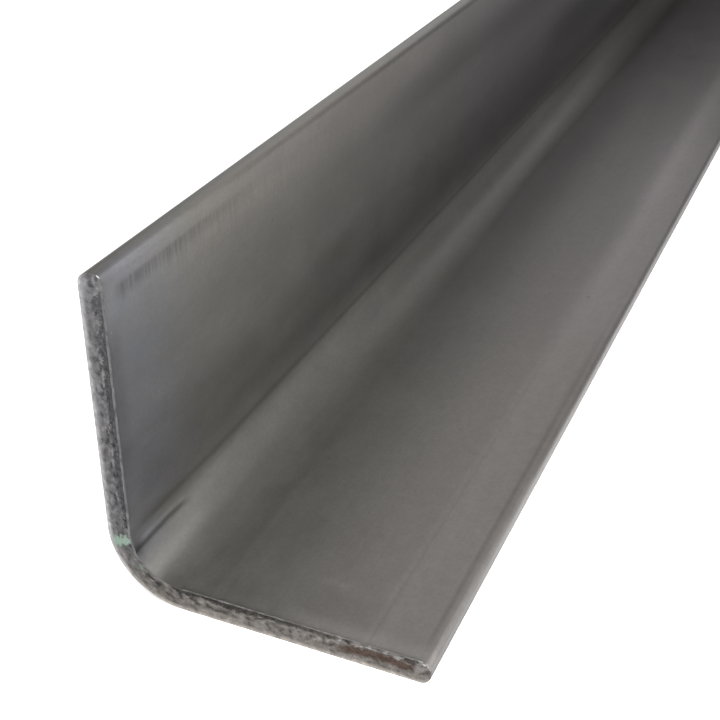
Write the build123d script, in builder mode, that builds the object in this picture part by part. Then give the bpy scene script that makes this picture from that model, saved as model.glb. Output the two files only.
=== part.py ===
from build123d import *
import os

# One length of cold-formed steel angle. A flat strip is bent once along its whole length, so both
# legs and the bend have the strip's thickness, and the outer bend radius follows from the inner one.
# The bend lies a little off the strip's middle, which makes one leg longer than the other.
# Frame in millimetres: the base leg lies on z = 0, the upright leg stands at its -X edge, and the
# length runs along Y, with the origin under the middle of the base leg.

stock_length = 1000.0
base_leg = 39.0
upright_leg = 41.0
strip_thickness = 3.0
inner_bend_radius = 6.0
outer_edge_radius = 1.5
inner_edge_radius = 0.7

outer_bend_radius = inner_bend_radius + strip_thickness
heel_x = -base_leg / 2
toe_x = base_leg / 2

with BuildPart() as angle_section:
    with BuildSketch(Plane.XZ) as section:
        # The outside of the bent strip, from the base leg's toe round the heel to the upright's toe.
        with BuildLine():
            FilletPolyline(
                (toe_x, 0), (heel_x, 0), (heel_x, upright_leg), radius=outer_bend_radius
            )
            offset(amount=strip_thickness, side=Side.RIGHT)
        make_face()
        # The strip's long edges are rounder on its outside face than on its inside face. At each toe
        # the outside corner comes first in order and the inside corner last.
        for edge_radius, corner in ((outer_edge_radius, 0), (inner_edge_radius, -1)):
            base_toe = section.vertices().group_by(Axis.X)[-1].sort_by(Axis.Y)
            upright_toe = section.vertices().group_by(Axis.Y)[-1].sort_by(Axis.X)
            fillet([base_toe[corner], upright_toe[corner]], radius=edge_radius)
    extrude(amount=stock_length / 2, both=True)

angle_section.part.label = "angle_section"

os.makedirs("parts", exist_ok=True)
export_step(angle_section.part, "parts/angle_section.step")
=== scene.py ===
import math

import bpy
from mathutils import Matrix, Vector, noise


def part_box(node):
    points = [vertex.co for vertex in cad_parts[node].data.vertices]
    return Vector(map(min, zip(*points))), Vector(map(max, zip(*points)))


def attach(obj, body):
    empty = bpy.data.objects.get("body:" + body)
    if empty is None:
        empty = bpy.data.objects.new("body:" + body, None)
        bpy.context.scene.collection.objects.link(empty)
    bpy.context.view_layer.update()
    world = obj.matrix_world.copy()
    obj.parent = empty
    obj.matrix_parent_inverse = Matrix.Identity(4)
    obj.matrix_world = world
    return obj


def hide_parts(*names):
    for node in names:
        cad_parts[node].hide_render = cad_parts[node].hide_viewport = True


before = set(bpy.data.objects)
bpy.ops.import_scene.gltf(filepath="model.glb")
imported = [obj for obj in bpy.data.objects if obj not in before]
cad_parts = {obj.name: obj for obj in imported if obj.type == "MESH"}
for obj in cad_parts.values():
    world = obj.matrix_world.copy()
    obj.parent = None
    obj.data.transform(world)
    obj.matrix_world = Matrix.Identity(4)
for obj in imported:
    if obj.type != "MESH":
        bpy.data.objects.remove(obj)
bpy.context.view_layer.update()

# ---------------------------------------------------------------------------------------------
# The angle: one length of cold-formed mild steel strip, 3 mm thick, bent once along its length.
# A flat grid of the strip's end is spun round the bend and drawn up the upright leg, and the
# finished section is then extruded along the bar.
MM = 0.001
low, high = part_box("angle_section")
strip_thickness = 3.0 * MM
inner_bend_radius = 6.0 * MM
outer_bend_radius = inner_bend_radius + strip_thickness
outer_edge_radius = 1.5 * MM
inner_edge_radius = 0.7 * MM
bend_x = low.x + outer_bend_radius
bend_z = low.z + outer_bend_radius
base_flat = high.x - bend_x
upright_flat = high.z - bend_z
column_pitch = 0.3 * MM
bend_steps = 36


def arc_rows(radius, steps):
    """Distances from a face at which a rounded edge of this radius is cut into equal turns."""
    return [radius * (1 - math.cos(math.radians(90 * i / steps))) for i in range(steps + 1)]


# Levels through the thickness, from the outside face to the inside face.
outer_steps, inner_steps = 8, 6
outer_rows = arc_rows(outer_edge_radius, outer_steps)
inner_rows = [strip_thickness - d for d in reversed(arc_rows(inner_edge_radius, inner_steps))]
between_rows = [1.75 * MM, 2.0 * MM, 2.15 * MM]
levels = outer_rows + between_rows + inner_rows

base_columns = round(base_flat / column_pitch)
bpy.ops.object.select_all(action="DESELECT")
bpy.ops.mesh.primitive_grid_add(
    x_subdivisions=base_columns,
    y_subdivisions=len(levels) - 1,
    size=1,
    rotation=(math.radians(90), 0, 0),
)
angle = bpy.context.object
angle.name = "steel_angle"
bpy.ops.object.transform_apply(location=True, rotation=True, scale=True)
for v in angle.data.vertices:
    level = round((v.co.z + 0.5) * (len(levels) - 1))
    v.co = (bend_x + (v.co.x + 0.5) * base_flat, low.y, low.z + levels[level])

# The bend: the strip's edge at the bend line is spun a quarter turn, then drawn up the upright.
bpy.ops.object.mode_set(mode="EDIT")
bpy.ops.mesh.select_mode(type="VERT")
bpy.ops.mesh.select_all(action="DESELECT")
bpy.ops.object.mode_set(mode="OBJECT")
for v in angle.data.vertices:
    v.select = abs(v.co.x - bend_x) < column_pitch / 10
bpy.ops.object.mode_set(mode="EDIT")
bpy.ops.mesh.spin(
    steps=bend_steps,
    angle=math.radians(-90),
    center=(bend_x, low.y, bend_z),
    axis=(0, 1, 0),
)
upright_columns = round(upright_flat / column_pitch)
for _ in range(upright_columns):
    bpy.ops.mesh.extrude_region_move(
        TRANSFORM_OT_translate={"value": (0, 0, upright_flat / upright_columns)}
    )
bpy.ops.mesh.select_all(action="SELECT")
bpy.ops.mesh.remove_doubles(threshold=column_pitch / 30)
bpy.ops.object.mode_set(mode="OBJECT")


def strip_place(co):
    """Where a point lies on the strip, in mm: across it from the middle of the bend, with the
    base leg positive, and through it from the outside face."""
    half_bend = inner_bend_radius * math.pi / 4
    if co.x > bend_x:
        return (half_bend + co.x - bend_x) / MM, (co.z - low.z) / MM
    if co.z > bend_z:
        return -(half_bend + co.z - bend_z) / MM, (co.x - low.x) / MM
    turn = math.atan2(bend_z - co.z, bend_x - co.x) - math.pi / 4
    reach = math.hypot(bend_z - co.z, bend_x - co.x)
    return turn * inner_bend_radius / MM, (outer_bend_radius - reach) / MM


# The long edges at the two toes are rounded by drawing the last few columns in from the toe.
toe_reach = 8 * column_pitch


def edge_inset(through):
    """How far a toe stands back from its flat at this level of the strip's thickness."""
    if through < outer_edge_radius:
        drop = outer_edge_radius - through
        return outer_edge_radius - math.sqrt(max(outer_edge_radius**2 - drop**2, 0))
    if through > strip_thickness - inner_edge_radius:
        drop = through - (strip_thickness - inner_edge_radius)
        return inner_edge_radius - math.sqrt(max(inner_edge_radius**2 - drop**2, 0))
    return 0


for v in angle.data.vertices:
    if v.co.x > high.x - toe_reach:
        v.co.x -= edge_inset(v.co.z - low.z) * (1 - (high.x - v.co.x) / toe_reach)
    if v.co.z > high.z - toe_reach:
        v.co.z -= edge_inset(v.co.x - low.x) * (1 - (high.z - v.co.z) / toe_reach)

# The section is extruded in rings: close together at the sheared ends, far apart between them.
bar_length = high.y - low.y
end_step = 0.25 * MM
end_steps = 8
crease_step = 0.4 * MM
crease_reach = 15 * MM
longest_step = 40 * MM
near_growth, far_growth = 1.35, 1.6
near_rings = [end_step * i for i in range(1, end_steps + 1)]
while near_rings[-1] < crease_reach:
    near_rings.append(near_rings[-1] + crease_step)
step = crease_step
while step < longest_step:
    step *= near_growth
    near_rings.append(near_rings[-1] + step)
far_rings = [end_step * i for i in range(end_steps, -1, -1)]
step = end_step
while step < longest_step:
    step *= far_growth
    far_rings.insert(0, far_rings[0] + step)
far_rings = [bar_length - ring for ring in far_rings]
plain_span = far_rings[0] - near_rings[-1]
plain_steps = math.ceil(plain_span / longest_step)
plain_rings = [near_rings[-1] + plain_span * i / plain_steps for i in range(1, plain_steps)]
rings = near_rings + plain_rings + far_rings

bpy.ops.object.mode_set(mode="EDIT")
bpy.ops.mesh.select_all(action="SELECT")
reached = 0
for ring in rings:
    bpy.ops.mesh.extrude_region_move(TRANSFORM_OT_translate={"value": (0, ring - reached, 0)})
    reached = ring
bpy.ops.mesh.select_all(action="SELECT")
bpy.ops.mesh.normals_make_consistent(inside=False)
bpy.ops.mesh.select_all(action="DESELECT")
bpy.ops.object.mode_set(mode="OBJECT")

# The places on the strip are kept on the mesh, because every mark of rolling, bending and
# shearing follows the strip round the bend. Places and marks on the strip are in mm.
length = bar_length / MM
thickness = strip_thickness / MM
strip_places = []
for v in angle.data.vertices:
    across, through = strip_place(v.co)
    strip_places.append((across, through, (v.co.y - low.y) / MM))


def between(value, start, end):
    """0 at start, 1 at end, and smooth between them."""
    share = min(max((value - start) / (end - start), 0), 1)
    return share * share * (3 - 2 * share)


def roughened(across, through, width, seed):
    """A rough height from about -1 to 1, with bumps about this wide."""
    return noise.noise(Vector((across / width, through / width, seed)))


# The shear pushed from the outside face: that edge rolled over, the steel below it burnished,
# and the rest tore away. These are the levels where the tear starts, at places across the strip.
near_tear = (
    (-37.5, 2.8), (-35.0, 2.7), (-34.5, 2.4), (-34.2, 1.9), (-33.9, 1.5), (-33.4, 1.36),
    (-32.9, 1.38), (-32.4, 1.6), (-31.8, 1.8), (-31.4, 2.15), (-30.9, 2.1), (-29.4, 1.75),
    (-27.8, 1.6), (-27.2, 1.65), (-26.6, 1.95), (-22.0, 1.88), (-16.5, 1.86), (-15.0, 1.98),
    (-12.5, 1.85), (-11.0, 1.8), (-9.8, 1.88), (-8.0, 2.25), (-5.2, 2.3), (-4.7, 2.9),
    (0.2, 2.9), (0.4, 1.95), (1.5, 2.0), (1.8, 2.95), (3.2, 2.95), (3.7, 2.5), (4.8, 2.4),
    (5.3, 2.25), (6.2, 2.3), (6.7, 2.6), (7.6, 2.6), (8.2, 2.4), (9.2, 2.3), (12.0, 2.2),
    (13.6, 2.3), (14.5, 2.5), (16.0, 2.5), (16.6, 2.35), (19.0, 2.5), (21.6, 2.4), (22.4, 2.3),
    (23.2, 2.5), (24.2, 2.8), (24.8, 2.6), (25.3, 2.6), (25.8, 2.85), (31.5, 2.8), (32.0, 2.3),
    (32.7, 2.2), (33.2, 2.7), (35.0, 2.9),
)
far_tear = ((-37.5, 2.0), (-20.0, 1.8), (-4.0, 2.2), (6.0, 1.9), (24.0, 2.1), (35.0, 1.8))
near_seed, far_seed = 3, 40
blend_reach = 1.6
on_face = 0.01
bend_half = 5.0

# Waves are pairs of a height and a width. The tear ends short of the inside face, nearer to it on
# the base leg, and its end dips near the middle of the bend.
tear_start_waves = ((0.12, 0.9), (0.10, 0.4))
tear_end_waves = ((0.06, 0.7),)
tear_end_upright = 2.66
tear_end_rise = 0.30
rise_start, rise_full = 1.0, 4.0
dip_middle, dip_half, dip_core = 0.9, 0.9, 0.3
dip_depth = 0.35
tear_pull, tear_pull_spread, tear_pull_width = 0.2, 0.1, 0.6
pull_start, pull_full = -0.06, 0.14
pull_seed = 5
shear_recess = 0.02
shear_waves = ((0.02, 1.4), (0.015, 0.5))
rollover_reach = 0.5
rollover_depth = 0.09

# The burr stands out of the sheared face and up from the inside face, most on the base leg.
burr_start = 2.76
burr_rise = 0.12
burr_out, burr_out_spread, burr_out_width = 0.08, 0.05, 0.8
burr_seed = 9
burr_reach = 0.5
burr_lift_upright = 0.05
burr_lift_more = 0.13
lift_start, lift_full = 2.0, 6.0
lift_share, lift_share_spread, lift_width = 0.8, 0.5, 0.9
lift_toe_full, lift_toe_end = 33.6, 34.3


def wavy(across, row, waves, seed):
    """The sum of some waves at a place across the strip, in mm."""
    return sum(height * roughened(across, row, width, seed) for height, width in waves)


def tear_depth(across, through, tear, seed):
    """How far inside the torn band a place on the sheared face is, in mm; negative outside it."""
    for (start, start_level), (end, end_level) in zip(tear, tear[1:]):
        if start <= across <= end:
            first = start_level + (end_level - start_level) * (across - start) / (end - start)
            first += wavy(across, 0, tear_start_waves, seed)
            last = tear_end_upright + tear_end_rise * between(across, rise_start, rise_full)
            last -= dip_depth * between(abs(across - dip_middle), dip_half, dip_core)
            last += wavy(across, 1, tear_end_waves, seed)
            return min(through - first, last - through)
    return -1


def burr_lift(across, seed):
    """How far the burr stands up from the inside face at a place on the sheared edge, in mm."""
    lift = burr_lift_upright + burr_lift_more * between(across, lift_start, lift_full)
    share = lift_share_spread * roughened(across, 0, lift_width, seed + burr_seed)
    return lift * (lift_share + share) * between(across, lift_toe_end, lift_toe_full)


def sheared_depth(across, through, torn, seed):
    """How far the sheared face stands in from the bar's length at a place on it, in mm."""
    edge = min(max(rollover_reach - through, 0) / rollover_reach, 1)
    depth = shear_recess + rollover_depth * (1 - math.sqrt(1 - edge * edge))
    depth += wavy(across, through, shear_waves, seed)
    pulled = roughened(across, through, tear_pull_width, seed + pull_seed)
    pulled = tear_pull + tear_pull_spread * pulled
    depth += pulled * between(torn, pull_start, pull_full)
    pushed = roughened(across, 0, burr_out_width, seed + burr_seed)
    pushed = burr_out + burr_out_spread * pushed
    depth -= pushed * between(through, burr_start, burr_start + burr_rise)
    return max(depth, 0)


# The end of the bend was pinched against the tool, which left a shallow crease in its inside face.
crease_length = 12.8
crease_full = 9.0
crease_start = -1.90
crease_hook = 0.9
crease_hook_power = 6.0
crease_half = 0.75
crease_depth = 0.12
crease_skin = 0.8


def crease_sink(across, along):
    """How far the inside face of the bend is sunk by the crease, in mm."""
    middle = crease_start + crease_hook * (along / crease_length) ** crease_hook_power
    sink = crease_depth * between(along, crease_length, crease_full)
    return sink * between(abs(across - middle), crease_half, 0)


torn_places = []
for v, (across, through, along) in zip(angle.data.vertices, strip_places):
    from_end = min(along, length - along)
    torn = -1
    if from_end < blend_reach:
        near = along < blend_reach
        tear, seed = (near_tear, near_seed) if near else (far_tear, far_seed)
        torn = tear_depth(across, through, tear, seed)
        shift = sheared_depth(across, through, torn, seed) * (1 - from_end / blend_reach)
        v.co.y += shift * MM if near else -shift * MM
        if through > thickness - on_face and abs(across) > bend_half:
            lift = burr_lift(across, seed) * between(from_end, burr_reach, 0) * MM
            v.co.x += lift if across < 0 else 0
            v.co.z += lift if across > 0 else 0
    torn_places.append(torn)
    if through > thickness / 2 and abs(across) < bend_half and along < crease_length:
        sink = crease_sink(across, along) * between(through, thickness - crease_skin, thickness)
        turn = across / (inner_bend_radius / MM) + math.pi / 4
        v.co.x -= sink * MM * math.cos(turn)
        v.co.z -= sink * MM * math.sin(turn)
    v.co.y = min(max(v.co.y, low.y), high.y)
    v.co.z = min(v.co.z, high.z)

places = angle.data.attributes.new("strip", "FLOAT_VECTOR", "POINT")
places.data.foreach_set("vector", [value for place in strip_places for value in place])
tears = angle.data.attributes.new("torn", "FLOAT", "POINT")
tears.data.foreach_set("value", torn_places)


def add(tree, kind, inputs=None, **settings):
    """Adds a node; each input is a socket to link or a value to set."""
    made = tree.nodes.new(kind)
    for name, value in settings.items():
        setattr(made, name, value)
    for socket, value in (inputs or {}).items():
        if isinstance(value, bpy.types.NodeSocket):
            tree.links.new(value, made.inputs[socket])
        else:
            made.inputs[socket].default_value = value
    return made


def new_material(name):
    """A material with its node tree and its surface shader."""
    material = bpy.data.materials.new(name)
    material.use_nodes = True
    return material, material.node_tree, material.node_tree.nodes["Principled BSDF"]


def calc(tree, operation, *values):
    """The result of a sum on sockets and numbers."""
    return add(tree, "ShaderNodeMath", dict(enumerate(values)), operation=operation).outputs[0]


def fade(tree, value, start, end, low=0.0, high=1.0):
    """Goes smoothly from the low to the high value between start and end."""
    inputs = {"Value": value, "From Min": start, "From Max": end, "To Min": low, "To Max": high}
    return add(tree, "ShaderNodeMapRange", inputs, interpolation_type="SMOOTHSTEP").outputs[0]


def line(tree, value, centre, half_width):
    """1 along the middle of a mark that runs along or across the strip, 0 beside it."""
    aside = calc(tree, "ABSOLUTE", calc(tree, "SUBTRACT", value, centre))
    return fade(tree, aside, half_width, 0.0)


noise_roughness = 0.55
noise_low, noise_high = 0.28, 0.72


def grain(tree, place, size, detail=2.0, low=0.0, high=1.0):
    """Uneven steel: patches of this size in mm across, through and along the strip."""
    inverse = tuple(1 / side for side in size)
    stretched = add(tree, "ShaderNodeVectorMath", {0: place, 1: inverse}, operation="MULTIPLY")
    inputs = {"Vector": stretched.outputs[0], "Scale": 1.0, "Detail": detail}
    inputs["Roughness"] = noise_roughness
    patches = add(tree, "ShaderNodeTexNoise", inputs).outputs[0]
    span = {"Value": patches, "From Min": noise_low, "From Max": noise_high}
    return add(tree, "ShaderNodeMapRange", {**span, "To Min": low, "To Max": high}).outputs[0]


def shifted(tree, value, mask, amount):
    """Adds this amount to a value, a place or a level where the mask is 1."""
    return calc(tree, "MULTIPLY_ADD", mask, amount, value)


def toned(tree, tone, mask, amount):
    """Makes the tone lighter by this share where the mask is 1, or darker where it is negative."""
    return calc(tree, "MULTIPLY", tone, shifted(tree, 1.0, mask, amount))


def product(tree, first, *others):
    """The product of tones, or of masks, which is 1 only where all of them are."""
    for other in others:
        first = calc(tree, "MULTIPLY", first, other)
    return first


def tinted(tree, mask, colour, tint):
    """Goes from the colour to the tint as the mask goes from 0 to 1."""
    return add(tree, "ShaderNodeMix", {0: mask, 6: colour, 7: tint}, data_type="RGBA").outputs[2]


def shaded(tree, colour, tone):
    """The colour, lighter or darker by the tone."""
    inputs = {0: colour, "Scale": tone}
    return add(tree, "ShaderNodeVectorMath", inputs, operation="SCALE").outputs[0]


def bumpy(tree, shader, relief, height):
    """Gives the shader's surface a relief, with a height in metres where the relief is 1."""
    inputs = {"Height": relief, "Strength": 1.0, "Distance": height}
    tree.links.new(add(tree, "ShaderNodeBump", inputs).outputs[0], shader.inputs["Normal"])


def strip_sockets(tree):
    """The strip's places in mm, as a vector and as numbers across, through and along it."""
    place = add(tree, "ShaderNodeAttribute", attribute_name="strip").outputs["Vector"]
    parts = add(tree, "ShaderNodeSeparateXYZ", {0: place}).outputs
    return place, parts[0], parts[1], parts[2]


# Rolled steel: a dull grey mill finish with streaks along the bar, faint blotches, and the marks
# that the guides and the bending tool left. Most marks show on the inside of the angle only.
rolled_steel, tree, steel = new_material("rolled_steel")
place, across, through, along = strip_sockets(tree)
inside = fade(tree, through, 1.7, 2.4)
upright = fade(tree, across, -4.0, -6.0)

broad_streaks = grain(tree, place, (1.7, 2.0, 240.0), 3.0, -1.0, 1.0)
fine_streaks = grain(tree, place, (0.3, 0.5, 45.0), 2.0, -1.0, 1.0)
blotches = grain(tree, place, (5.0, 5.0, 9.0), 2.0, -1.0, 1.0)
mottling = grain(tree, place, (1.3, 1.3, 1.8), 3.0, -1.0, 1.0)
speckle = grain(tree, place, (0.35, 0.35, 0.4), 3.0, -1.0, 1.0)
tone = shifted(tree, 1.0, broad_streaks, 0.012)
for mask, lighter in (
    (fine_streaks, 0.02), (blotches, 0.035), (mottling, 0.035), (speckle, 0.06),
):
    tone = toned(tree, tone, mask, lighter)

# The guide rolls left a dark stripe below the upright's toe, and from it short scratches run down
# across the strip, thickest towards the end of the bar.
off_the_end = fade(tree, along, 1.5, 3.2)
scratched = product(
    tree, fade(tree, across, -34.9, -34.3), fade(tree, across, -32.1, -33.7), inside,
    fade(tree, along, 36.0, 13.0), off_the_end, grain(tree, place, (7.0, 9.0, 0.30), 2.0),
)
combed = product(
    tree, fade(tree, across, -34.9, -33.8), fade(tree, across, -28.5, -33.0), inside,
    fade(tree, along, 110.0, 12.0), off_the_end, grain(tree, place, (9.0, 9.0, 0.5), 2.0),
)
tone = toned(tree, tone, scratched, -0.30)
tone = toned(tree, tone, combed, -0.12)

# A dark line follows the top of the bend. The crease is painted dark, as painted shade in it, with a
# painted highlight on its lip towards the upright and painted shade on the patch where the end of the
# bend was pinched.
bend_middle = calc(tree, "ADD", across, fade(tree, along, 24.0, 2.0, 4.0, 4.45))
bend_line = product(
    tree, line(tree, bend_middle, 0.0, 0.70), inside, fade(tree, along, 1.0, 5.5, 0.15, 1.0)
)
hooked = calc(tree, "POWER", calc(tree, "DIVIDE", along, crease_length), crease_hook_power)
from_crease = shifted(tree, across, hooked, -crease_hook)
from_crease = calc(tree, "SUBTRACT", from_crease, crease_start)
crease_share = calc(tree, "DIVIDE", from_crease, fade(tree, along, 2.6, 0.8, 0.72, 1.0))
crease_shade = product(
    tree, line(tree, crease_share, -0.25, 1.0), inside, fade(tree, along, crease_length, 10.5)
)
crease_lip_highlight = product(
    tree, line(tree, from_crease, -0.95, 0.45), inside,
    fade(tree, along, 11.5, 9.0), fade(tree, along, 1.0, 3.0),
)
pinched_shade = product(tree, line(tree, across, -2.3, 2.2), inside, fade(tree, along, 1.5, 0.5))
for mask, lighter in ((bend_line, -0.24), (crease_shade, -0.30), (crease_lip_highlight, 0.12), (pinched_shade, -0.30)):
    tone = toned(tree, tone, mask, lighter)

# Painted light and shade on the inside: a painted highlight on the bend towards the upright, painted
# shade at its foot, across the upright's middle and deepening along the bend and the upright away
# from the sheared end, and near that end painted shade on the upright and a painted highlight on the
# base leg. The base leg is a little darker in its middle and lighter towards its toe, more so away
# from the end.
bend_highlight = product(tree, line(tree, across, -1.4, 2.6), inside)
bend_foot_shade = product(tree, line(tree, across, 2.0, 2.2), inside)
far_bend_shade = product(tree, line(tree, across, 0.0, 5.5), inside, fade(tree, along, 190.0, 260.0))
upright_shade = product(
    tree, fade(tree, across, -33.0, -29.5), fade(tree, across, -5.5, -9.0), inside
)
far_upright_shade = product(tree, upright, inside, fade(tree, along, 35.0, 160.0))
upright_falloff_shade = product(
    tree, upright, inside, fade(tree, along, 40.0, 170.0), fade(tree, along, 700.0, 350.0),
    line(tree, across, -20.0, 17.0),
)
end_band_shade = product(
    tree, fade(tree, along, 3.0, 1.0), fade(tree, across, -32.0, -27.0),
    fade(tree, across, -4.0, -24.0), inside,
)
lit_edge = product(tree, fade(tree, along, 3.2, 1.0), fade(tree, across, 5.0, 17.0), inside)
base_middle = product(tree, line(tree, across, 13.5, 6.0), inside)
base_toe = product(tree, fade(tree, across, 25.5, 29.5), inside)
far_toe = product(tree, base_toe, fade(tree, along, 60.0, 150.0))
for mask, lighter in (
    (bend_highlight, 0.19), (bend_foot_shade, -0.11), (far_bend_shade, -0.20), (upright_shade, -0.15),
    (far_upright_shade, -0.22), (upright_falloff_shade, -0.25), (end_band_shade, -0.20), (lit_edge, 0.12),
    (base_middle, -0.03), (base_toe, 0.10), (far_toe, 0.20),
):
    tone = toned(tree, tone, mask, lighter)

# Streaks along the bar, partly marks from the rolls and partly painted highlight and painted shade:
# the light ones on the bend paint its lit band, and the long dark ones far along the bar paint shade
# there.
# For each: the middle and half width across the strip, where along the bar it starts, is full, begins
# to go and ends, and how much lighter it is. One that starts before 0 is full at the sheared end.
upright_streaks_and_shade = (
    (-37.0, 3.0, -2.0, -1.0, 1.0, 3.0, -0.14), (-34.2, 1.1, 1.5, 3.2, 13.0, 45.0, -0.09),
    (-34.0, 5.0, 45.0, 58.0, 70.0, 90.0, -0.08), (-34.0, 5.0, 90.0, 100.0, 400.0, 600.0, -0.10),
    (-33.5, 4.5, -2.0, -1.0, 4.0, 8.0, -0.04), (-29.5, 6.0, 60.0, 105.0, 300.0, 450.0, -0.26),
    (-29.0, 13.0, -2.0, -1.0, 1.5, 5.0, -0.08), (-27.5, 2.5, 42.0, 55.0, 120.0, 150.0, -0.09),
    (-27.5, 6.5, 112.0, 140.0, 300.0, 450.0, -0.24), (-27.0, 9.0, 65.0, 85.0, 400.0, 600.0, -0.07),
    (-25.0, 5.5, 1.0, 5.0, 60.0, 90.0, -0.11), (-22.0, 17.0, 15.0, 28.0, 400.0, 600.0, -0.06),
    (-20.0, 9.0, 40.0, 52.0, 65.0, 80.0, -0.09), (-18.0, 9.0, 165.0, 195.0, 300.0, 450.0, -0.22),
    (-17.0, 7.0, 150.0, 172.0, 300.0, 450.0, -0.42), (-14.5, 3.5, 30.0, 40.0, 50.0, 70.0, -0.07),
    (-12.8, 3.5, 8.0, 15.0, 40.0, 60.0, -0.09), (-11.5, 8.0, 35.0, 60.0, 300.0, 450.0, -0.17),
    (-11.0, 2.5, 11.0, 14.0, 20.0, 26.0, -0.08), (-9.5, 6.0, -2.0, -1.0, 1.0, 4.5, 0.14),
    (-7.5, 3.0, 18.0, 26.0, 70.0, 85.0, -0.08), (-7.5, 2.5, 48.0, 56.0, 400.0, 600.0, -0.07),
    (-7.0, 5.0, 185.0, 215.0, 300.0, 450.0, -0.22), (-6.3, 1.5, -2.0, -1.0, 5.0, 12.0, 0.12),
)
bend_streaks_and_light = (
    (-4.0, 1.4, 110.0, 125.0, 200.0, 240.0, 0.09), (-3.6, 1.7, 35.0, 60.0, 150.0, 180.0, 0.21),
    (-2.6, 1.8, -2.0, -1.0, 1.2, 2.5, -0.22), (-2.6, 3.0, 155.0, 190.0, 300.0, 450.0, -0.28),
    (-1.5, 1.6, -2.0, -1.0, 1.0, 13.0, -0.28), (-1.3, 3.2, 25.0, 45.0, 55.0, 85.0, 0.20),
    (-1.0, 9.0, 200.0, 250.0, 300.0, 450.0, -0.38), (-0.4, 3.6, 5.0, 12.0, 60.0, 160.0, 0.13),
    (0.3, 1.6, 3.0, 6.0, 11.0, 15.0, 0.12), (1.0, 2.6, 120.0, 165.0, 175.0, 215.0, 0.28),
    (2.0, 5.0, 25.0, 45.0, 65.0, 90.0, 0.06), (3.2, 1.8, -2.0, -1.0, 1.2, 3.0, -0.12),
    (3.4, 2.0, 3.0, 6.0, 20.0, 30.0, 0.07), (4.6, 1.2, 2.0, 6.0, 100.0, 150.0, 0.14),
)
base_streaks_and_light = (
    (5.5, 3.0, 165.0, 215.0, 300.0, 450.0, -0.14), (5.8, 4.0, -2.0, -1.0, 60.0, 150.0, 0.12),
    (9.5, 6.5, 60.0, 130.0, 155.0, 235.0, -0.13), (12.0, 9.0, -2.0, -1.0, 40.0, 70.0, 0.09),
    (15.5, 2.4, -2.0, -1.0, 1.5, 5.0, -0.09), (20.0, 3.0, -2.0, -1.0, 0.8, 3.0, 0.12),
    (22.5, 8.0, -2.0, -1.0, 50.0, 75.0, 0.07), (24.5, 5.0, -2.0, -1.0, 1.0, 3.0, 0.12),
    (26.5, 6.5, 115.0, 145.0, 300.0, 450.0, 0.15), (27.4, 0.25, -2.0, -1.0, 5.0, 90.0, -0.08),
    (28.0, 3.0, -2.0, -1.0, 400.0, 600.0, 0.07), (30.0, 7.0, 55.0, 90.0, 400.0, 600.0, 0.11),
    (33.3, 0.55, 1.5, 5.0, 20.0, 110.0, -0.20), (33.4, 1.6, 20.0, 28.0, 65.0, 80.0, -0.08),
)
for middle, half_width, starts, full, goes, ends, lighter in (
    upright_streaks_and_shade + bend_streaks_and_light + base_streaks_and_light
):
    streak_and_light = product(
        tree, line(tree, across, middle, half_width), inside,
        fade(tree, along, starts, full), fade(tree, along, ends, goes),
    )
    tone = toned(tree, tone, streak_and_light, lighter)

# Another dark line wanders beside the bend's foot, and a fine light one, broken along its length,
# lies near the base leg's toe.
foot_line_curve = 0.000163
wander = shifted(tree, across, calc(tree, "MULTIPLY", along, along), foot_line_curve)
foot_line = product(tree, line(tree, wander, 7.5, 1.3), inside, fade(tree, along, 260.0, 60.0))
light_line = product(
    tree, line(tree, across, 26.8, 0.4), inside, fade(tree, along, 150.0, 5.0),
    grain(tree, place, (3.0, 3.0, 14.0), 2.0),
)
tone = toned(tree, tone, foot_line, -0.06)
tone = toned(tree, tone, light_line, 0.07)

# Rubs, flecks and a scratch from handling: the place of each across and along the strip, its half
# width and half length, and how much lighter it is. The wide ones are ragged.
rubs = (
    (20.5, 8.0, 3.0, 1.4, 0.23), (21.8, 4.6, 5.2, 2.6, -0.07), (14.2, 17.8, 0.5, 0.35, -0.20),
    (28.1, 86.9, 0.45, 0.6, -0.35), (-29.9, 0.7, 0.22, 0.22, 0.6), (-27.6, 36.7, 0.3, 0.4, -0.25),
    (-25.0, 53.7, 1.5, 0.35, -0.15), (17.0, 3.0, 5.0, 2.0, 0.04), (9.0, 30.0, 0.6, 0.4, -0.15),
)
widest_plain_rub = 1
ragged = grain(tree, place, (0.7, 0.7, 0.9), 3.0, 0.25, 1.0)
for rub_across, rub_along, half_width, half_length, lighter in rubs:
    rub = product(
        tree, line(tree, across, rub_across, half_width),
        line(tree, along, rub_along, half_length), inside,
    )
    if half_width > widest_plain_rub:
        rub = product(tree, rub, ragged)
    tone = toned(tree, tone, rub, lighter)

# The rounded edges of the toes and the outside of the bend are lighter in patches; the upright's
# outer rim has a painted highlight that fades away from the sheared end, and the base leg's toe edge
# is darker at the end and lighter away from it.
edge_patches = grain(tree, place, (1.0, 1.0, 5.0), 2.0, 0.6)
base_edge = product(tree, fade(tree, across, 33.9, 34.7), edge_patches)
base_edge_ramp = product(tree, base_edge, fade(tree, along, 0.0, 90.0, -0.25, 0.18))
base_edge_patch = product(tree, base_edge, line(tree, along, 30.0, 20.0))
base_edge_foot = product(
    tree, base_edge, fade(tree, through, 1.8, 1.2), fade(tree, along, 22.0, 4.0)
)
upright_edge = product(tree, fade(tree, across, -36.2, -36.75), edge_patches)
upright_rim_highlight = product(
    tree, fade(tree, through, 1.4, 0.7), fade(tree, across, -35.4, -36.0),
    fade(tree, along, 105.0, 55.0),
)
heel = product(
    tree, fade(tree, through, 0.6, 0.1), line(tree, across, 0.0, 6.0),
    fade(tree, fine_streaks, -0.4, 0.8),
)
for mask, lighter in (
    (base_edge_ramp, 1.0), (base_edge_patch, 0.12), (base_edge_foot, -0.42),
    (upright_edge, 0.06), (upright_rim_highlight, 1.25), (heel, 0.30),
):
    tone = toned(tree, tone, mask, lighter)

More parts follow.
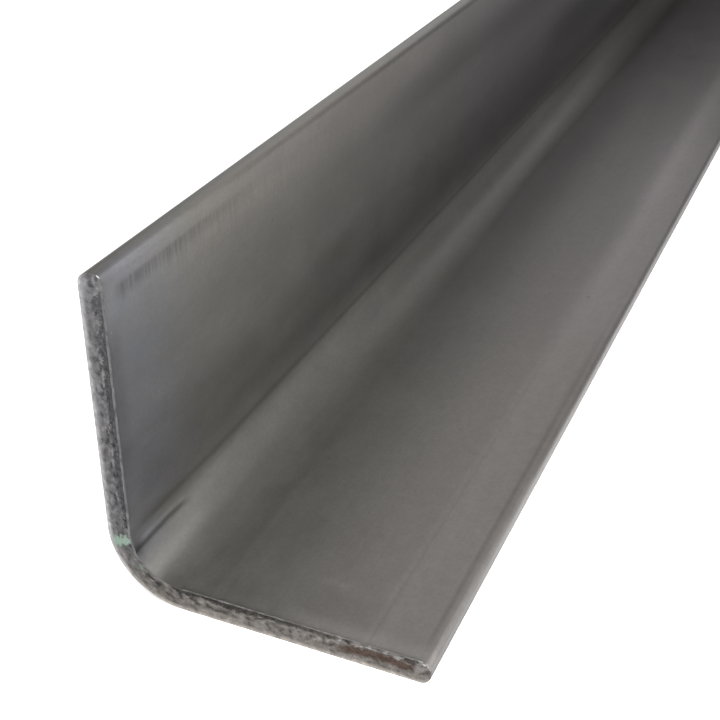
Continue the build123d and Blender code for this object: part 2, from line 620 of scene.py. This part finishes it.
# Tints: olive grey, bluer at the upright's sheared end and redder towards the base leg's toe.
olive_grey = (0.1525, 0.1505, 0.1385, 1)
reddish_grey = (0.1595, 0.1495, 0.1430, 1)
bluish_grey = (0.1475, 0.1500, 0.1630, 1)
brownish_grey = (0.1590, 0.1485, 0.1360, 1)
lilac_grey = (0.1580, 0.1464, 0.1495, 1)
ruddy_grey = (0.1585, 0.1476, 0.1405, 1)
warm_grey = (0.1585, 0.1490, 0.1450, 1)
colour = tinted(tree, fade(tree, across, 8.0, 27.0), olive_grey, reddish_grey)
near_upright = product(tree, upright, fade(tree, along, 20.0, 3.0))
# Near the sheared end the blue tint goes with the painted shade on the upright, the crease and the
# pinched end.
bluish = calc(tree, "MAXIMUM", near_upright, product(tree, pinched_shade, crease_shade))
near_bend = product(tree, line(tree, across, -3.0, 4.0), fade(tree, along, 9.0, 2.0))
bluish = product(tree, calc(tree, "MAXIMUM", bluish, near_bend), inside)
brownish = product(tree, fade(tree, across, -27.0, -32.0), inside, fade(tree, along, 11.0, 22.0))
flats = fade(tree, calc(tree, "ABSOLUTE", across), 4.0, 7.0)
far_flats = product(tree, fade(tree, along, 50.0, 140.0), flats, inside)
ruddy_bend = product(
    tree, line(tree, across, 0.0, 6.5), fade(tree, along, 80.0, 150.0), inside
)
hues = grain(tree, place, (4.0, 4.0, 7.0), 1.0, 0.0, 0.5)
for mask, tint in (
    (bluish, bluish_grey), (brownish, brownish_grey), (far_flats, lilac_grey),
    (ruddy_bend, ruddy_grey), (hues, warm_grey),
):
    colour = tinted(tree, mask, colour, tint)
tree.links.new(shaded(tree, colour, tone), steel.inputs["Base Color"])

steel.inputs["Metallic"].default_value = 1.0
dullness = 0.53
polished_bend = product(tree, line(tree, across, 0.0, 5.2), inside)
for mask, duller in (
    (broad_streaks, 0.012), (blotches, 0.02), (scratched, 0.06), (polished_bend, -0.16),
):
    dullness = shifted(tree, dullness, mask, duller)
tree.links.new(dullness, steel.inputs["Roughness"])
relief = speckle
for mask, higher in ((fine_streaks, 0.5), (blotches, 2.0), (scratched, -1.5)):
    relief = shifted(tree, relief, mask, higher)
bumpy(tree, steel, relief, 0.003 * MM)
angle.data.materials.append(rolled_steel)

# Sheared steel, on the two ends: burnished and pitted where the blade slid, lightest at the edge
# that rolled over, with pits, pocks and soft mottles that deepen towards the tear.
sheared_steel, tree, cut = new_material("sheared_steel")
place, across, through, along = strip_sockets(tree)
near_end = fade(tree, along, 2.0, 1.0)
upright_cut = fade(tree, across, 3.0, -6.0)
pitting = grain(tree, place, (0.85, 0.65, 0.85), 5.0, -1.0, 1.0)
pocks = grain(tree, place, (0.85, 0.60, 0.85), 2.0, -1.0, 1.0)
slides = grain(tree, place, (0.16, 4.0, 4.0), 2.0, -1.0, 1.0)
clouds = grain(tree, place, (2.2, 1.3, 2.2), 3.0, -1.0, 1.0)
mottles = grain(tree, place, (1.5, 1.0, 1.5), 2.0, -1.0, 1.0)
deeper = product(
    tree, fade(tree, through, 0.5, 2.0, 0.45, 1.0), fade(tree, across, -24.0, -31.0, 1.0, 0.8)
)
slid = product(
    tree, fade(tree, across, -14.0, -25.0, 0.0, 0.33), fade(tree, across, -32.0, -36.0, 1.0, 2.4),
    fade(tree, through, 0.2, 0.7, 0.4, 1.0),
)
rolled_edge = product(tree, fade(tree, through, 0.8, 0.0), fade(tree, across, 3.0, 9.0, 1.6, 1.2))
pits = product(tree, pitting, deeper)
base_mottles = product(tree, mottles, deeper, fade(tree, across, 2.0, 6.0))
dark_pocks = product(tree, fade(tree, pocks, -0.15, -0.65), deeper)
light_pocks = product(tree, fade(tree, pocks, 0.25, 0.8), deeper)
tone = product(
    tree, fade(tree, through, 1.8, 0.0, 0.85, 1.35), fade(tree, across, 3.0, 9.0, 0.68, 0.80)
)
for mask, lighter in (
    (slid, 1.0), (clouds, 0.26), (rolled_edge, 1.0), (pits, 0.50), (base_mottles, 0.22),
    (slides, 0.06), (dark_pocks, -0.50), (light_pocks, 0.35),
):
    tone = toned(tree, tone, mask, lighter)
base_burnish = (0.168, 0.155, 0.142, 1)
upright_burnish = (0.1600, 0.1565, 0.1600, 1)
burnished = shaded(tree, tinted(tree, upright_cut, base_burnish, upright_burnish), tone)

# The torn steel is dark, with shards that catch the light, most of all towards the base leg's toe.
tear = add(tree, "ShaderNodeAttribute", attribute_name="torn").outputs["Fac"]
crumbs = grain(tree, place, (0.32, 0.26, 0.32), 3.0, -1.0, 1.0)
shards = grain(tree, place, (0.5, 0.36, 0.5), 3.0, -1.0, 1.0)
torn = fade(tree, shifted(tree, tear, crumbs, 0.16), -0.08, 0.08)
bright_shards = product(tree, fade(tree, shards, 0.50, 1.0), fade(tree, across, 18.0, 25.0, 0.3, 1.0))
torn_tone = toned(tree, shifted(tree, 1.0, shards, 0.50), bright_shards, 1.3)
torn_tone = product(
    tree, torn_tone, fade(tree, across, 6.0, 0.0, 1.0, 1.35),
    fade(tree, across, -26.0, -30.0, 1.0, 1.25), fade(tree, across, 9.0, 24.0, 1.0, 1.6),
)
base_torn = (0.077, 0.071, 0.066, 1)
upright_torn = (0.074, 0.073, 0.077, 1)
ripped = shaded(tree, tinted(tree, upright_cut, base_torn, upright_torn), torn_tone)
colour = tinted(tree, torn, burnished, ripped)

# A rust streak lies on the base leg's cut, ruddy in places.
rust_brown = (0.057, 0.039, 0.030)
rust_red = (0.100, 0.058, 0.052, 1)
broken = grain(tree, place, (1.1, 0.8, 1.1), 3.0, -1.0, 1.0)
rust_level = calc(
    tree, "ADD", fade(tree, across, 23.5, 27.5, 1.45, 1.98), fade(tree, across, 29.0, 33.0, 0.0, -0.2)
)
rust_level = shifted(tree, rust_level, shards, 0.25)
rust = product(
    tree, line(tree, through, rust_level, 1.05), fade(tree, across, 22.6, 26.0),
    fade(tree, across, 34.0, 31.5), grain(tree, place, (0.8, 0.5, 0.8), 3.0, 0.45, 1.25), near_end,
)
rust_tone = shifted(tree, shifted(tree, 1.0, crumbs, 0.40), broken, 0.35)
rusty = shaded(tree, rust_brown, rust_tone)
colour = tinted(tree, fade(tree, rust, 0.0, 0.70, 0.0, 0.95), colour, rusty)
ruddy = product(
    tree, rust, fade(tree, broken, 0.15, 0.5), fade(tree, across, 30.0, 27.0, 0.3, 1.0)
)
colour = tinted(tree, fade(tree, ruddy, 0.0, 0.7, 0.0, 0.4), colour, rust_red)

# Chips shine along the tear. The largest have their place across and through the strip, their
# half size and how bright they are.
chip_grey = (0.185, 0.181, 0.180, 1)
edge_chips = product(tree, line(tree, tear, -0.10, 0.20), fade(tree, broken, -0.2, 0.5))
colour = tinted(tree, edge_chips, colour, chip_grey)
chip_stretch = 1.5
for chip_across, chip_through, half_size, shine in (
    (-26.7, 1.8, 0.42, 0.28), (-24.9, 1.85, 0.30, 0.26), (-18.4, 1.82, 0.22, 0.24),
    (-16.8, 1.84, 0.25, 0.24), (-31.3, 2.0, 0.40, 0.24), (34.2, 2.75, 0.45, 0.50),
    (34.5, 2.35, 0.32, 0.40), (33.4, 2.9, 0.30, 0.36), (24.2, 2.65, 0.42, 0.30),
    (26.4, 2.55, 0.42, 0.30), (27.6, 2.75, 0.34, 0.30), (30.8, 2.6, 0.40, 0.27),
    (29.4, 2.8, 0.30, 0.27), (32.2, 2.9, 0.28, 0.30),
):
    chip = product(
        tree, line(tree, shifted(tree, across, crumbs, 0.60), chip_across, half_size * chip_stretch),
        line(tree, shifted(tree, through, shards, 0.30), chip_through, half_size), near_end,
    )
    shine_warm = (shine, shine * 0.975, shine * 0.96, 1)
    colour = tinted(tree, fade(tree, chip, 0.10, 0.9, 0.0, 0.8), colour, shine_warm)

# At the base leg's toe a dull wedge and a dark pock lie in the cut, and a corner of the upright's
# toe glints.
wedge_lilac = (0.175, 0.160, 0.165, 1)
pock_brown = (0.060, 0.050, 0.046, 1)
glint_white = (0.90, 0.89, 0.87, 1)
wedge = product(
    tree, line(tree, shifted(tree, across, shards, 0.3), 33.4, 1.1), line(tree, through, 1.9, 0.9),
    fade(tree, broken, 0.6, 0.1), near_end,
)
pock = product(
    tree, line(tree, across, 34.25, 0.5),
    line(tree, shifted(tree, through, crumbs, 0.2), 1.75, 0.5), near_end,
)
glint = product(
    tree, line(tree, shifted(tree, across, crumbs, 0.12), -36.65, 0.34),
    line(tree, shifted(tree, through, shards, 0.12), 2.78, 0.42), near_end,
)
colour = tinted(tree, wedge, colour, wedge_lilac)
colour = tinted(tree, pock, colour, pock_brown)
colour = tinted(tree, fade(tree, glint, 0.15, 0.55), colour, glint_white)

# The burr is a thin grey edge along the inside of the cut, with a broken painted highlight below it
# on the upright.
burr_grey = (0.122, 0.121, 0.124, 1)
burr_highlight_grey = (0.225, 0.220, 0.218, 1)
above_burr = calc(tree, "SUBTRACT", through, fade(tree, across, 1.0, 4.0, 2.78, 2.985))
burr = fade(tree, shifted(tree, above_burr, crumbs, 0.01), -0.02, 0.03)
worn_burr = product(
    tree, burr, grain(tree, place, (0.9, 1.3, 0.9), 3.0, 0.3, 1.0),
    fade(tree, across, -8.0, -4.0, 0.5, 1.0),
)
burr_highlight = product(
    tree, line(tree, shifted(tree, through, crumbs, 0.04), 2.80, 0.09),
    grain(tree, place, (1.6, 9.0, 1.6), 2.0), fade(tree, across, -18.0, -27.0, 0.35, 1.0),
    fade(tree, across, -4.0, -6.0),
)
colour = tinted(tree, worn_burr, colour, burr_grey)
colour = tinted(tree, burr_highlight, colour, burr_highlight_grey)

# A fleck of the pale green paint that marks the stock is left at the bend, with a thin drop of it
# beside the fleck.
paint_green = (0.205, 0.285, 0.225, 1)
paint_cover = 0.85
fleck_across = shifted(tree, shifted(tree, across, shards, 0.20), crumbs, 0.22)
fleck_across = shifted(tree, fleck_across, through, 0.10)
fleck = product(
    tree, line(tree, fleck_across, -3.42, 0.74), fade(tree, through, 0.15, 0.9),
    fade(tree, through, 2.95, 2.5),
)
drop = product(tree, line(tree, fleck_across, -0.2, 0.5), line(tree, through, 2.2, 0.7))
paint = shifted(tree, fade(tree, fleck, 0.12, 0.55), drop, 0.35)
paint = product(tree, paint, near_end, paint_cover)
colour = tinted(tree, paint, colour, paint_green)
tree.links.new(colour, cut.inputs["Base Color"])

cut.inputs["Metallic"].default_value = 1.0
least_dullness = 0.3
dullness = 0.46
for mask, duller in ((torn, 0.22), (burr, -0.12)):
    dullness = shifted(tree, dullness, mask, duller)
tree.links.new(calc(tree, "MAXIMUM", dullness, least_dullness), cut.inputs["Roughness"])
relief = pitting
for mask, higher in ((slides, 0.25), (product(tree, torn, shards), 3.0)):
    relief = shifted(tree, relief, mask, higher)
bumpy(tree, cut, relief, 0.03 * MM)
angle.data.materials.append(sheared_steel)
for p in angle.data.polygons:
    on_ends = (min(strip_places[i][2], length - strip_places[i][2]) < on_face for i in p.vertices)
    if all(on_ends):
        p.material_index = 1

smooth_below = 35
bpy.ops.object.shade_smooth_by_angle(angle=math.radians(smooth_below))

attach(angle, "root")
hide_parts("angle_section")

# ---------------------------------------------------------------------------------------------
# The floor: a plain pale studio sweep that the bar lies on. It glows a little where it is looked
# at, straight or in the steel, and not where it lights the bar.
floor_size = 12
floor_white = (0.80, 0.80, 0.80, 1)
floor_glow = 0.7
bpy.ops.object.select_all(action="DESELECT")
bpy.ops.mesh.primitive_plane_add(size=floor_size, location=(0, 0, low.z))
floor = bpy.context.object
floor.name = "studio_floor"
pale, tree, surface = new_material("pale_floor")
surface.inputs["Base Color"].default_value = floor_white
surface.inputs["Roughness"].default_value = 0.9
surface.inputs["Specular IOR Level"].default_value = 0.0
shining = add(tree, "ShaderNodeEmission", {"Color": (1, 1, 1, 1), "Strength": floor_glow})
shining = add(tree, "ShaderNodeAddShader", {0: surface.outputs[0], 1: shining.outputs[0]})
rays = add(tree, "ShaderNodeLightPath").outputs
seen = calc(tree, "ADD", rays["Is Camera Ray"], rays["Is Glossy Ray"])
seen = calc(tree, "ADD", seen, rays["Is Transmission Ray"])
seen = calc(tree, "MINIMUM", seen, 1.0)
shown = add(tree, "ShaderNodeMixShader", {0: seen, 1: surface.outputs[0], 2: shining.outputs[0]})
tree.links.new(shown.outputs[0], tree.nodes["Material Output"].inputs["Surface"])
floor.data.materials.append(pale)

# ---------------------------------------------------------------------------------------------
# The light: a plain soft room, brighter behind the camera and beyond the bar on the right, with
# soft lamps round the sheared end.
world = bpy.data.worlds.new("studio_room")
bpy.context.scene.world = world
world.use_nodes = True
tree = world.node_tree
background = tree.nodes["Background"]
facing = add(tree, "ShaderNodeTexCoord").outputs["Generated"]
height = add(tree, "ShaderNodeSeparateXYZ", {0: facing}).outputs[2]


def towards(azimuth, elevation):
    """The direction at an azimuth from the bar's far end, turned to the right, and an elevation."""
    azimuth, elevation = math.radians(azimuth), math.radians(elevation)
    level = math.cos(elevation)
    return Vector((math.sin(azimuth) * level, math.cos(azimuth) * level, math.sin(elevation)))


def glow(tree, facing, azimuth, elevation, reach, strength):
    """A soft patch of light in the room round a direction, out to an angle from it."""
    inputs = {0: facing, 1: towards(azimuth, elevation)}
    nearness = add(tree, "ShaderNodeVectorMath", inputs, operation="DOT_PRODUCT").outputs["Value"]
    return fade(tree, nearness, math.cos(math.radians(reach)), 1.0, 0.0, strength)


room_below, room_above = 0.10, 0.20
above_level = calc(tree, "MAXIMUM", height, 0.0)
room = fade(tree, above_level, 0.0, 0.5, room_below, room_above)
behind_glow = glow(tree, facing, azimuth=180, elevation=35, reach=95, strength=0.30)
right_glow = glow(tree, facing, azimuth=45, elevation=30, reach=45, strength=0.23)
total = calc(tree, "ADD", calc(tree, "ADD", room, behind_glow), right_glow)
tree.links.new(total, background.inputs["Strength"])
background.inputs["Color"].default_value = (1, 1, 1, 1)

# The lamps: the azimuth and elevation of each from the sheared end, its distance and size, and
# its power. Two stand beside the base leg's toe, two beyond the end and one before it.
lit_end = Vector((0, low.y + 40 * MM, low.z + 10 * MM))
for lamp_azimuth, lamp_elevation, distance, size, energy in (
    (90, 55, 0.13, 0.09, 0.160),
    (90, 15, 0.10, 0.05, 0.062),
    (0, 25, 0.21, 0.11, 0.018),
    (-25, 35, 0.30, 0.20, 0.166),
    (180, 50, 0.12, 0.07, 0.084),
):
    lamp_place = lit_end + towards(lamp_azimuth, lamp_elevation) * distance
    bpy.ops.object.light_add(type="AREA", location=lamp_place)
    lamp = bpy.context.object
    lamp.data.shape = "DISK"
    lamp.data.size = size
    lamp.data.energy = energy
    lamp.rotation_euler = (lit_end - lamp.location).to_track_quat("-Z", "Y").to_euler()
    lamp.visible_camera = False

# ---------------------------------------------------------------------------------------------
# The camera looks down into the angle from beyond its near end.
view_azimuth, view_elevation, view_roll = 23.69, 30.45, -0.12
camera_from_corner = Vector((72.428 * MM, -94.568 * MM, 98.646 * MM))
camera_data = bpy.data.cameras.new("camera")
camera_data.lens = 64.81
camera_data.sensor_width = 36
camera_data.clip_start = 0.01
camera = bpy.data.objects.new("camera", camera_data)
bpy.context.scene.collection.objects.link(camera)
camera.location = low + camera_from_corner
turned = (
    Matrix.Rotation(math.radians(view_azimuth), 4, "Z")
    @ Matrix.Rotation(math.radians(90 - view_elevation), 4, "X")
    @ Matrix.Rotation(math.radians(view_roll), 4, "Z")
)
camera.rotation_euler = turned.to_euler()
bpy.context.scene.camera = camera
bpy.context.scene.view_settings.view_transform = "Standard"
